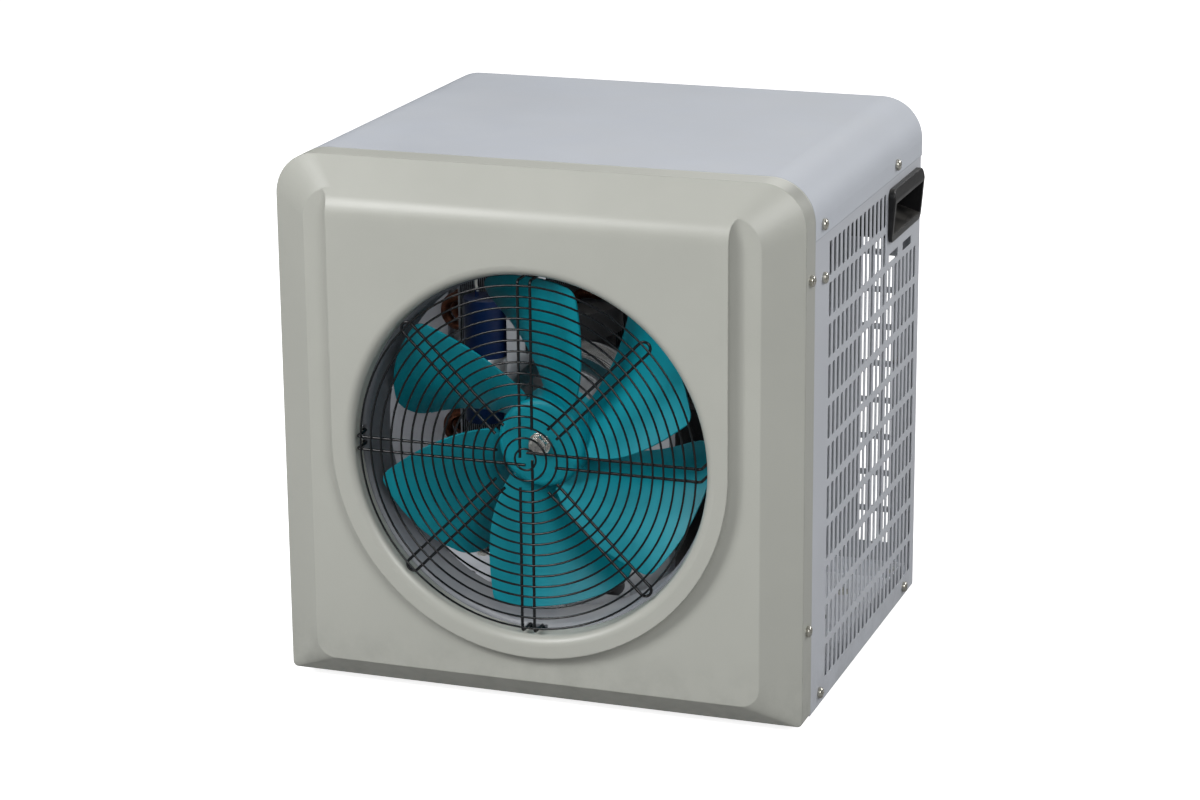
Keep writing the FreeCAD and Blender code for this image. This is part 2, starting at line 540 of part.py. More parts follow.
def tip_corner(tab, rho, sgn):
    """Prism that rounds one corner of the blade tip: tab is the edge's angle table, rho the radius, sgn the blade's side of the edge."""
    def at(r):
        a = math.radians(smooth(tab, r))
        return (r * math.cos(a), r * math.sin(a))
    p, q = at(FAN_R), at(FAN_R - 12)
    ux, uz = (q[0] - p[0]) / math.hypot(q[0] - p[0], q[1] - p[1]), (q[1] - p[1]) / math.hypot(q[0] - p[0], q[1] - p[1])
    best = None
    for k in range(4000):
        a = math.radians(smooth(tab, FAN_R) + sgn * k * 0.01)
        c = ((FAN_R - rho) * math.cos(a), (FAN_R - rho) * math.sin(a))
        dd = abs((c[0] - p[0]) * uz - (c[1] - p[1]) * ux)
        if best is None or abs(dd - rho) < best[0]:
            best = (abs(dd - rho), c)
    c = best[1]
    al = (c[0] - p[0]) * ux + (c[1] - p[1]) * uz
    t2 = (p[0] + al * ux, p[1] + al * uz)
    m = math.hypot(*c)
    t1 = (c[0] / m * FAN_R, c[1] / m * FAN_R)

    def ext(t, f):
        return (c[0] + (t[0] - c[0]) * f, c[1] + (t[1] - c[1]) * f)
    quad = [c, ext(t1, 1.5), ext(p, 1.9), ext(t2, 1.5)]
    f = Part.Face(Part.makePolygon([V(x, Y0 - 40, z + FAN_Z) for x, z in quad + [quad[0]]])).extrude(V(0, 130, 0))
    return f.cut(cyl(rho, (c[0], Y0 - 45, c[1] + FAN_Z), (0, 1, 0), 140))


blade = blade.cut(tip_corner(TH_F, 9.0, 1)).cut(tip_corner(TH_R, 14.0, -1))
hub = revolve_y([(5.05, HUB_Y), (HUB_R - 5, HUB_Y), (HUB_R, HUB_Y + 5), (HUB_R, HUB_Y + 42), (HUB_R - 3, HUB_Y + 42), (HUB_R - 3, HUB_Y + 5), (13, HUB_Y + 4), (12, HUB_Y + 30), (5.05, HUB_Y + 30)], FAN_Z,
                {1: (HUB_R - 5 + 5 * math.sin(math.radians(45)), HUB_Y + 5 - 5 * math.cos(math.radians(45)))})
fan = [hub]
for i in range(N_BLADE):
    b = blade.copy()
    b.rotate(V(0, 0, FAN_Z), V(0, 1, 0), 60 * i)
    fan.append(b)
for i in range(6):
    rb = box(11.5, HUB_R - 2.0, HUB_Y + 3, HUB_Y + 26, -1.0, 1.0)
    rb.rotate(V(0, 0, 0), V(0, 1, 0), 60 * i + 30)
    rb.translate(V(0, 0, FAN_Z))
    fan.append(rb)
imp = fan[0].multiFuse(fan[1:])
out["fan_impeller"] = imp

shaft = cyl(5.0, (0, HUB_Y + 0.05, FAN_Z), (0, 1, 0), 123.0).fuse(cyl(4.0, (0, HUB_Y - 9.0, FAN_Z), (0, 1, 0), 9.2))
out["motor_shaft"] = shaft
washer = tube(8.6, 4.05, (0, HUB_Y - 1.7, FAN_Z), (0, 1, 0), 1.65)
hexn = Part.Face(Part.makePolygon([V(7.5 * math.cos(math.pi / 3 * i + 0.3), HUB_Y - 7.6, FAN_Z + 7.5 * math.sin(math.pi / 3 * i + 0.3)) for i in range(7)])).extrude(V(0, 5.8, 0))
cone = Part.makeCone(5.9, 13.0, 7.1, V(0, HUB_Y - 8.2, FAN_Z), V(0, 1, 0))
hexn = hexn.common(cone).cut(cyl(4.05, (0, HUB_Y - 20, FAN_Z), (0, 1, 0), 40))
out["fan_nut"] = compound([washer, hexn])

# ---------------------------------------------------------------- fan motor
MY0, MY1 = Y0 + 70.0, Y0 + 106.0      # lamination stack
MR = 53.0
MB = [(sx * 44.0, FAN_Z + sz * 21.0) for sx in (-1, 1) for sz in (-1, 1)]
core = []
fin = cyl(MR - 1.2, (0, MY0, FAN_Z), (0, 1, 0), MY1 - MY0)
rings = [cyl(MR, (0, MY0 + 0.6 + 3.5 * i, FAN_Z), (0, 1, 0), 2.3) for i in range(10)]
core = fin.multiFuse(rings)
core = core.cut(cyl(30.4, (0, MY0 - 5, FAN_Z), (0, 1, 0), 60))
core = core.cut(compound([cyl(2.2, (x, MY0 - 5, z), (0, 1, 0), 60) for x, z in MB]))
out["motor_stator_core"] = core


def bell(yf, d):
    """End bell of the motor: flange against the stack, dome away from it along d."""
    pts = [(11.05, yf + d * 17), (30, yf + d * 17), (42, yf + d * 6), (42, yf + d * 2.5), (MR - 0.4, yf + d * 2.5), (MR - 0.4, yf + d * 0.05),
           (39.6, yf + d * 0.05), (39.6, yf + d * 5), (29, yf + d * 14.8), (14, yf + d * 14.8), (14, yf + d * 6.5), (11.05, yf + d * 6.5)]
    s = revolve_y(pts, FAN_Z)
    s = s.cut(compound([cyl(2.2, (x, yf - 30, z), (0, 1, 0), 60) for x, z in MB]))
    vents = []
    for i in range(8):
        b = box(20, 27, yf - 30, yf + 30, -3, 3)
        b.rotate(V(0, 0, 0), V(0, 1, 0), 45 * i + 22)
        b.translate(V(0, 0, FAN_Z))
        vents.append(b)
    return s.cut(compound(vents))


out["motor_front_bell"] = bell(MY0, -1)
out["motor_rear_bell"] = bell(MY1, 1)
br = []
for yc in (MY0 - 16.0, MY1 + 7.0):
    br.append(tube(11.0, 8.6, (0, yc, FAN_Z), (0, 1, 0), 9.0))
    br.append(tube(7.0, 5.03, (0, yc, FAN_Z), (0, 1, 0), 9.0))
    for k in range(7):
        a = 2 * math.pi * k / 7
        br.append(Part.makeSphere(0.78, V(7.8 * math.cos(a), yc + 4.5, FAN_Z + 7.8 * math.sin(a))))
out["motor_bearings"] = compound(br)
rot = tube(29.6, 5.0, (0, MY0 + 1, FAN_Z), (0, 1, 0), MY1 - MY0 - 2).fuse(tube(27, 16, (0, MY0 - 3, FAN_Z), (0, 1, 0), MY1 - MY0 + 6))
rot = rot.cut(cyl(5.01, (0, MY0 - 20, FAN_Z), (0, 1, 0), 120))
out["motor_rotor"] = rot
RY = MY1 + 4.0      # front face of the rails
bolts = []
for x, z in MB:
    b = cyl(4.2, (x, MY0 - 2.5 - 3.0 - 0.05, z), (0, 1, 0), 3.0).fuse(cyl(2.0, (x, MY0 - 2.6, z), (0, 1, 0), RY - MY0 + 12))
    n = cyl(4.2, (x, RY + 1.62, z), (0, 1, 0), 3.4).cut(cyl(2.02, (x, RY - 5, z), (0, 1, 0), 20))
    sp = tube(4.2, 2.2, (x, MY1 + 2.55, z), (0, 1, 0), RY - MY1 - 2.6)
    bolts += [b, n, sp]
out["motor_bolts"] = compound(bolts)
rails = []
for s in (-1, 1):
    x0, x1 = sorted((s * 33.5, s * 66.0))
    r = box(x0, x1, RY, RY + 1.6, 12.1, 391.0)
    xe = s * 66.0
    a, b = sorted((xe, xe - s * 1.6))
    r = r.fuse(box(a, b, RY, RY + 15, 12.1, 391.0))
    foot = box(x0, x1, RY, RY + 26, 12.1, 13.7)
    r = r.fuse(foot)
    holes = [cyl(2.2, (x, RY - 5, z), (0, 1, 0), 30) for x, z in MB]
    for z in (90, 243, 300, 340):
        holes.append(box(s * 46 - 5, s * 46 + 5, RY - 5, RY + 8, z, z + 14))
    holes.append(cyl(43.5, (0, RY - 5, FAN_Z), (0, 1, 0), 30))
    r = r.cut(compound(holes))
    rails.append(r)
top = box(-33.5, 33.5, RY, RY + 1.6, 372.0, 391.0)
bot = box(-88.0, 64.0, RY, RY + 1.6, 12.1, 53.0).cut(compound([box(s * 46 - 5, s * 46 + 5, RY - 5, RY + 8, 50, 54) for s in (-1, 1)]))
out["motor_bracket"] = fuse(rails + [top, bot])

# ---------------------------------------------------------------- evaporator
EX0, EX1 = -176.0, -22.0           # fin block across the left of the rear panel
EY0, EY1 = 124.0, 164.0
EZ0, EZ1 = 14.0, 316.0
ROW_Y = (134.0, 154.0)             # two rows of tubes
TZ = [EZ0 + 15 + 25.4 * i for i in range(12)]
TR = 4.0
TEND = 5.0
fins = box(EX0, EX1, EY0, EY1, EZ0, EZ1)
tubes, tcut = [], []


def bow(x, y, z0, z1, d):
    """Half round return bend from height z0 to z1 (or, if z1 is None, from row to row), bulging along d * X."""
    if z1 is None:
        r = (ROW_Y[1] - ROW_Y[0]) / 2
        arc = Part.Arc(V(x, ROW_Y[0], z0), V(x + d * r, ROW_Y[0] + r, z0), V(x, ROW_Y[1], z0)).toShape()
        c = V(x, ROW_Y[0], z0)
    else:
        r = (z1 - z0) / 2
        arc = Part.Arc(V(x, y, z0), V(x + d * r, y, (z0 + z1) / 2), V(x, y, z1)).toShape()
        c = V(x, y, z0)
    return Part.Wire([arc]).makePipeShell([Part.Wire(Part.makeCircle(TR, c, V(1, 0, 0)))], True, False)


XL, XR_ = EX0 - TEND, EX1 + TEND
for row, y in enumerate(ROW_Y):
    last = 12 if row == 0 else 11
    for z in TZ[:last]:
        tcut.append(cyl(TR + 0.05, (EX0 - 20, y, z), (1, 0, 0), EX1 - EX0 + 40))
    for k in range(0, last - 1, 2):
        a, b = V(XL, y, TZ[k]), V(XR_, y, TZ[k])
        c, d = V(XR_, y, TZ[k + 1]), V(XL, y, TZ[k + 1])
        rr = (TZ[k + 1] - TZ[k]) / 2
        arc = Part.Arc(b, V(XR_ + rr, y, TZ[k] + rr), c).toShape()
        path = Part.Wire([Part.LineSegment(a, b).toShape(), arc, Part.LineSegment(c, d).toShape()])
        tubes.append(path.makePipeShell([Part.Wire(Part.makeCircle(TR, a, V(1, 0, 0)))], True, False))
    for k in range(1, last - 1, 2):
        tubes.append(bow(XL - 0.05, y, TZ[k], TZ[k + 1], -1))
tubes.append(cyl(TR, (XL, ROW_Y[1], TZ[10]), (1, 0, 0), XR_ - XL))
tubes.append(bow(XL - 0.05, None, TZ[0], None, -1))
out["evaporator_tubes"] = compound(tubes)
out["evaporator_fins"] = fins.cut(compound(tcut))
ep1 = box(EX0 - 1.6, EX0 - 0.1, EY0 - 1, EY1 + 1, EZ0 - 1.9, EZ1).cut(compound(tcut))
ep2 = box(EX1 + 0.1, EX1 + 1.6, EY0 - 1, EY1 + 1, EZ0 - 1.9, EZ1).cut(compound(tcut))
out["evaporator_end_plates"] = compound([ep1, ep2])

# ---------------------------------------------------------------- compressor
CX, CY = COMP
CR = 47.0
CZ0, CZ1 = 30.0, 205.0
body = cyl(CR, (CX, CY, CZ0 + 14), (0, 0, 1), CZ1 - CZ0 - 28)


def cap(z, up):
    s = Part.makeSphere(66.0, V(CX, CY, z - (66 ** 2 - CR ** 2) ** 0.5 if up else z + (66 ** 2 - CR ** 2) ** 0.5))
    return s.common(cyl(CR, (CX, CY, z if up else z - 30), (0, 0, 1), 30))

shell = body.fuse(cap(CZ1 - 14, True)).fuse(cap(CZ0 + 14, False))

tri = Part.makePolygon([V(CX + 78 * math.cos(math.radians(a)), CY + 78 * math.sin(math.radians(a)), 26.0) for a in (78, 102, 198, 222, 318, 342, 78)])
foot = Part.Face(tri).extrude(V(0, 0, 3.0))
foot = foot.cut(compound([cyl(7.0, (x, y, 20), (0, 0, 1), 20) for x, y in CB]))
post = cyl(30.0, (CX, CY, 26.0), (0, 0, 1), 12)
shell = fuse([shell, foot, post])
stubs = [cyl(4.6, (CX - 18, CY + 18, CZ1 - 8), (0, 0, 1), 18)]
term = cyl(20.0, (CX + 12, CY - 8, CZ1 - 5), (0, 0, 1), 14)
shell = fuse([shell] + stubs + [term])
out["compressor_shell"] = shell
gr, cbolt = [], []
for x, y in CB:
    g = cyl(10.0, (x, y, PAN_Z + T_S + 0.02), (0, 0, 1), 25.95 - PAN_Z - T_S).fuse(cyl(6.9, (x, y, 20), (0, 0, 1), 12)).fuse(cyl(10.0, (x, y, 29.05), (0, 0, 1), 4))
    g = g.cut(cyl(3.4, (x, y, 0), (0, 0, 1), 60))
    gr.append(g)
    cbolt.append(cyl(3.0, (x, y, PAN_Z - 0.8), (0, 0, 1), 28).fuse(cyl(6.5, (x, y, 33.1), (0, 0, 1), 5)).fuse(cyl(5.5, (x, y, PAN_Z - 2.4), (0, 0, 1), 2.36)))
out["compressor_grommets"] = compound(gr)
out["compressor_bolts"] = compound(cbolt)
jk = tube(57.0, CR + 0.3, (CX, CY, 46.0), (0, 0, 1), 150.0)
jk = jk.cut(box(CX - 60, CX - 25, CY - 18, CY + 18, 44, 200))
out["compressor_jacket"] = jk
ACX, ACY = CX - 64.0, CY
acc = cyl(16.0, (ACX, ACY, 78), (0, 0, 1), 92).fuse(Part.makeCone(16, 7, 12, V(ACX, ACY, 170), V(0, 0, 1))).fuse(Part.makeCone(7, 16, 12, V(ACX, ACY, 66), V(0, 0, 1)))
acc = acc.fuse(pipe([(ACX, ACY, 70), (ACX, ACY, 52), (CX - CR - 0.05, ACY, 52)], 4.5, bend=8))
out["accumulator"] = acc.removeSplitter()

# ---------------------------------------------------------------- heat exchanger and water pipes
HX, HY, HR = -66.0, 62.0, 46.0
HZ0, HZ1 = 34.0, 250.0
hs = cyl(HR, (HX, HY, HZ0), (0, 0, 1), HZ1 - HZ0).fuse(cyl(HR + 6, (HX, HY, HZ1 - 16), (0, 0, 1), 22)).fuse(cyl(HR + 6, (HX, HY, PAN_Z + T_S + 0.02), (0, 0, 1), 26.0))
hs = hs.cut(cyl(HR - 3.5, (HX, HY, HZ0), (0, 0, 1), HZ1 - HZ0 - 4))
PR, PRI = 16.0, 13.0
IN_Z, OUT_Z = UNION_Z
PY = 126.0
for z in (IN_Z, OUT_Z):
    hs = hs.cut(cyl(PRI, (HX + 20, HY + 20, z), (1, 0, 0), 60))
CCX, CCY = HX, HY
coil = []
helix = Part.makeHelix(17.0, 153.0, 27.0)
helix.translate(V(CCX, CCY, HZ0 + 28))
prof = Part.Wire(Part.makeCircle(5.0, V(CCX + 27, CCY, HZ0 + 28), V(0, 1, 17.0 / (2 * math.pi * 27))))
hel = Part.Wire(helix).makePipeShell([prof], True, True)
out["exchanger_coil"] = hel
hs = hs.cut(compound([cyl(5.3, (HX + 15, CY + 18, HZ1 - 10), (0, 0, 1), 40), cyl(5.3, (HX - 15, CY + 5, HZ1 - 10), (0, 0, 1), 40)]))
out["exchanger_shell"] = hs
pipes = {}
for name, z in (("inlet", IN_Z), ("outlet", OUT_Z)):
    p = pipe([(HX + 30, HY + 20, z), (UNION_X - 38, HY + 20, z), (UNION_X - 38, PY, z), (UNION_X, PY, z), (UNION_X, YR + 24, z)], PR, PRI, bend=17)
    p = p.cut(cyl(HR + 0.02, (HX, HY, z - 40), (0, 0, 1), 80))
    fl = tube(29.0, PR - 0.5, (UNION_X, YR - 1.25, z), (0, 1, 0), 3.2)
    spig = tube(21.0, PRI, (UNION_X, YR + 1.9, z), (0, 1, 0), 22.1)
    neck = tube(22.5, PR - 0.5, (UNION_X, YR - 6.0, z), (0, 1, 0), 5.0)
    s = p.multiFuse([neck, fl, spig]).cut(tube(19.05, 14.95, (UNION_X, YR + 20.57, z), (0, 1, 0), 5.0))
    out[name + "_water_pipe"] = s
    n = revolve_y([(21.05, YR + 8), (25.6, YR + 8), (26.4, YR + 9.2), (26.4, YR + 31.8), (25.2, YR + 33), (18.05, YR + 33), (18.05, YR + 28.7), (21.05, YR + 28.7)], 0)
    ribs = []
    for i in range(16):
        a = 2 * math.pi * i / 16
        ribs.append(cyl(2.0, (26.2 * math.cos(a), YR + 9.5, 26.2 * math.sin(a)), (0, 1, 0), 22.0))
    n = n.multiFuse(ribs)
    n.translate(V(UNION_X, 0, z))
    out[name + "_union_nut"] = n
    tp = [(14.0, YR + 24.6), (20.6, YR + 24.6), (20.6, YR + 28.6), (18.0, YR + 28.6), (18.0, YR + 40.0), (16.6, YR + 41.0)]
    for k in range(4):
        tp += [(16.6, YR + 43.0 + 6 * k), (17.9, YR + 43.0 + 6 * k), (16.6, YR + 47.5 + 6 * k)]
    tp += [(16.6, YR + 68.0), (14.0, YR + 68.0)]
    t = revolve_y(tp, 0)
    t.translate(V(UNION_X, 0, z))
    out[name + "_hose_tail"] = t
out["union_o_rings"] = compound([Part.makeTorus(17.0, 2.0, V(UNION_X, YR + 22.58, z), V(0, 1, 0)) for z in UNION_Z])

# ---------------------------------------------------------------- refrigerant lines
out["suction_line"] = pipe([(XR_ + 0.05, ROW_Y[1], TZ[10]), (4, ROW_Y[1], TZ[10]), (4, ACY, TZ[10]), (ACX, ACY, TZ[10]), (ACX, ACY, 182.05)], 4.5, bend=10)
out["discharge_line"] = pipe([(CX - 18, CY + 18, CZ1 + 10.05), (CX - 18, CY + 18, 264), (HX + 15, CY + 18, 264), (HX + 15, CY + 18, 240)], 4.0, bend=8)
liq = pipe([(HX - 15, CY + 5, 240), (HX - 15, CY + 5, TZ[11]), (-192, CY + 5, TZ[11]), (-192, ROW_Y[0], TZ[11]), (XL - 0.05, ROW_Y[0], TZ[11])], 3.0, bend=8)
drier = Part.Face(Part.makePolygon([V(x, CY + 5, TZ[11] + r) for x, r in ((-172, 0), (-172, 3.5), (-164, 10), (-120, 10), (-112, 3.5), (-112, 0), (-172, 0))])).revolve(V(0, CY + 5, TZ[11]), V(1, 0, 0), 360)
out["liquid_line"] = liq.fuse(drier)

# ---------------------------------------------------------------- electrical parts
EBX = (36.0, 132.0)
EBY = (98.0, YR - 2.7)
EBZ = (240.0, 330.0)
eb = box(*EBX, *EBY, *EBZ).cut(box(EBX[0] + 1.2, EBX[1] - 1.2, EBY[0] - 5, EBY[1] - 1.2, EBZ[0] + 1.2, EBZ[1] - 1.2))
eb = eb.cut(cyl(6.0, (104, 122, EBZ[0] - 5), (0, 0, 1), 12))
out["electrical_box"] = eb
lid = box(EBX[0] - 1.3, EBX[1] + 1.3, EBY[0] - 1.3, EBY[0] - 0.1, EBZ[0] - 1.3, EBZ[1] + 1.3)
lid = fuse([lid, box(EBX[0] - 1.3, EBX[1] + 1.3, EBY[0] - 1.3, EBY[0] + 10, EBZ[1] + 0.1, EBZ[1] + 1.3),
            box(EBX[0] - 1.3, EBX[1] + 1.3, EBY[0] - 1.3, EBY[0] + 10, EBZ[0] - 1.3, EBZ[0] - 0.1)])
out["electrical_box_lid"] = lid
yb2 = EBY[1] - 1.25
board = box(42, 126, yb2 - 9.6, yb2 - 8.0, 248, 322)
bits = [box(46, 64, yb2 - 26, yb2 - 9.6, 296, 318), box(68, 86, yb2 - 26, yb2 - 9.6, 296, 318), box(92, 122, yb2 - 34, yb2 - 9.6, 290, 318),
        box(46, 122, yb2 - 22, yb2 - 9.6, 250, 260), cyl(7, (54, yb2 - 30, 274), (0, 1, 0), 21), cyl(7, (72, yb2 - 30, 274), (0, 1, 0), 21), box(90, 108, yb2 - 14, yb2 - 9.6, 268, 284)]
bits += [cyl(2.5, (x, yb2 - 8.1, z), (0, 1, 0), 8.05) for x in (46, 122) for z in (252, 318)]
out["control_board"] = board.multiFuse(bits)
CAPR, CAPH = 17.0, 98.0
CAPX, CAPY, CAPZ = -86.0, RY + 7.0, 186.0
cp = cyl(CAPR, (CAPX, CAPY, CAPZ), (0, 0, 1), CAPH).fuse(box(CAPX - 7, CAPX - 6.2, CAPY - 3, CAPY + 3, CAPZ + CAPH, CAPZ + CAPH + 7)).fuse(box(CAPX + 6.2, CAPX + 7, CAPY - 3, CAPY + 3, CAPZ + CAPH, CAPZ + CAPH + 7))
out["motor_capacitor"] = cp
band = tube(CAPR + 1.0, CAPR + 0.02, (CAPX, CAPY, CAPZ + 40), (0, 0, 1), 12).fuse(box(CAPX + CAPR + 0.5, -66.02, CAPY - 5, CAPY + 5, CAPZ + 40, CAPZ + 52))
out["capacitor_clamp"] = band

# ---------------------------------------------------------------- controller on the left side
XP = -SIDE_X
cb_o = box(XP - 5.0, XP - 0.05, CTRL_Y[0], CTRL_Y[1], CTRL_Z[0], CTRL_Z[1])
cb_o = cb_o.makeFillet(6.0, [e for e in cb_o.Edges if abs(abs(e.tangentAt(e.FirstParameter).x) - 1) < 1e-6])
cb_o = cb_o.makeFillet(1.6, [e for e in cb_o.Edges if all(abs(v.Point.x - (XP - 5.0)) < 1e-6 for v in e.Vertexes)])
inn = box(XP - 1.0, XP + 20.0, CTRL_Y[0] + 4.4, CTRL_Y[1] - 4.4, CTRL_Z[0] + 4.4, CTRL_Z[1] - 4.4)
ch = cb_o.fuse(inn).cut(box(XP - 2.5, XP + 18.0, CTRL_Y[0] + 6.4, CTRL_Y[1] - 6.4, CTRL_Z[0] + 6.4, CTRL_Z[1] - 6.4))
BTN = [(-39.0 + 12.2 * i) for i in range(4)]
BZ = 347.0
ch = ch.cut(compound([cyl(4.55, (XP - 6, y, BZ), (1, 0, 0), 4.0) for y in BTN]))
win = (-96.0, -50.0, 335.0, 359.0)
ch = ch.cut(box(XP - 5.1, XP - 3.9, win[0], win[1], win[2], win[3])).cut(box(XP - 6, XP, win[0] + 3, win[1] - 3, win[2] + 3, win[3] - 3))
out["controller_housing"] = ch
out["controller_window"] = box(XP - 4.9, XP - 3.92, win[0] + 0.05, win[1] - 0.05, win[2] + 0.05, win[3] - 0.05)
for i, y in enumerate(BTN):
    b = cyl(4.5, (XP - 6.2, y, BZ), (1, 0, 0), 4.2)
    e = [x for x in b.Edges if x.Closed and abs(x.CenterOfMass.x - (XP - 6.2)) < 1e-3]
    b = b.makeFillet(0.7, e[:1])
    b = b.fuse(cyl(5.6, (XP - 2.45, y, BZ), (1, 0, 0), 1.4)).fuse(cyl(1.6, (XP - 2, y, BZ), (1, 0, 0), 6.0))
    out["button_%d" % (i + 1)] = b

# ---------------------------------------------------------------- mains cable
gx, gz = GLAND
g = tube(8.1, 4.56, (gx, YR - 7, gz), (0, 1, 0), 6.0)
hexo = Part.Face(Part.makePolygon([V(gx + 11 * math.cos(math.pi / 3 * i), YR - 1.27, gz + 11 * math.sin(math.pi / 3 * i)) for i in range(7)])).extrude(V(0, 7, 0))
capn = cyl(9.0, (gx, YR + 5.7, gz), (0, 1, 0), 6.0).fuse(Part.makeCone(9.0, 6.0, 6.0, V(gx, YR + 11.7, gz), V(0, 1, 0)))
g = g.fuse(hexo).fuse(capn).cut(cyl(4.56, (gx, YR - 10, gz), (0, 1, 0), 40))
out["cable_gland"] = g
out["mains_cable"] = pipe([(104, 122, 246), (104, 122, gz), (gx, YR + 42, gz), (gx, YR + 42, 4.6), (gx + 84, YR + 42, 4.6)], 4.5, bend=14)

# ---------------------------------------------------------------- condensate spout
dx, dy = DRAIN
ds = fuse([cyl(7.9, (dx, dy, 1.0), (0, 0, 1), 14.0), cyl(11.0, (dx, dy, 7.6), (0, 0, 1), PAN_Z - 7.65)]).cut(cyl(5.4, (dx, dy, 0), (0, 0, 1), 30))
out["condensate_spout"] = ds

# ---------------------------------------------------------------- write one file for each piece
for name, s in out.items():
    s.translate(V(0, -ORIGIN_Y, 0))
    s.exportStep("parts/%s.step" % name)
print(len(out), "pieces")
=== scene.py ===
import math
import random

import bmesh
import bpy
from mathutils import Matrix, Vector


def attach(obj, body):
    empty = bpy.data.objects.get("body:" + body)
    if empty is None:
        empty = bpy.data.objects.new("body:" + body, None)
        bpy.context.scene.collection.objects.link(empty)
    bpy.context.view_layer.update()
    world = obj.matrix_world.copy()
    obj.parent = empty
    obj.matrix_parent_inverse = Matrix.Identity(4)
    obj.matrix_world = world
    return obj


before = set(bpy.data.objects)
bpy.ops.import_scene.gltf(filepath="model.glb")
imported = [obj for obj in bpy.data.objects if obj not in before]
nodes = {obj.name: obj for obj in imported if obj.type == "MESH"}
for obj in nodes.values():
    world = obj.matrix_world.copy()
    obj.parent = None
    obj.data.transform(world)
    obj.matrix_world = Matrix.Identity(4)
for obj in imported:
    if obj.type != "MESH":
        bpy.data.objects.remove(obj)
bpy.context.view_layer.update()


random.seed(11)

# ------------------------------------------------------------------ shader helpers


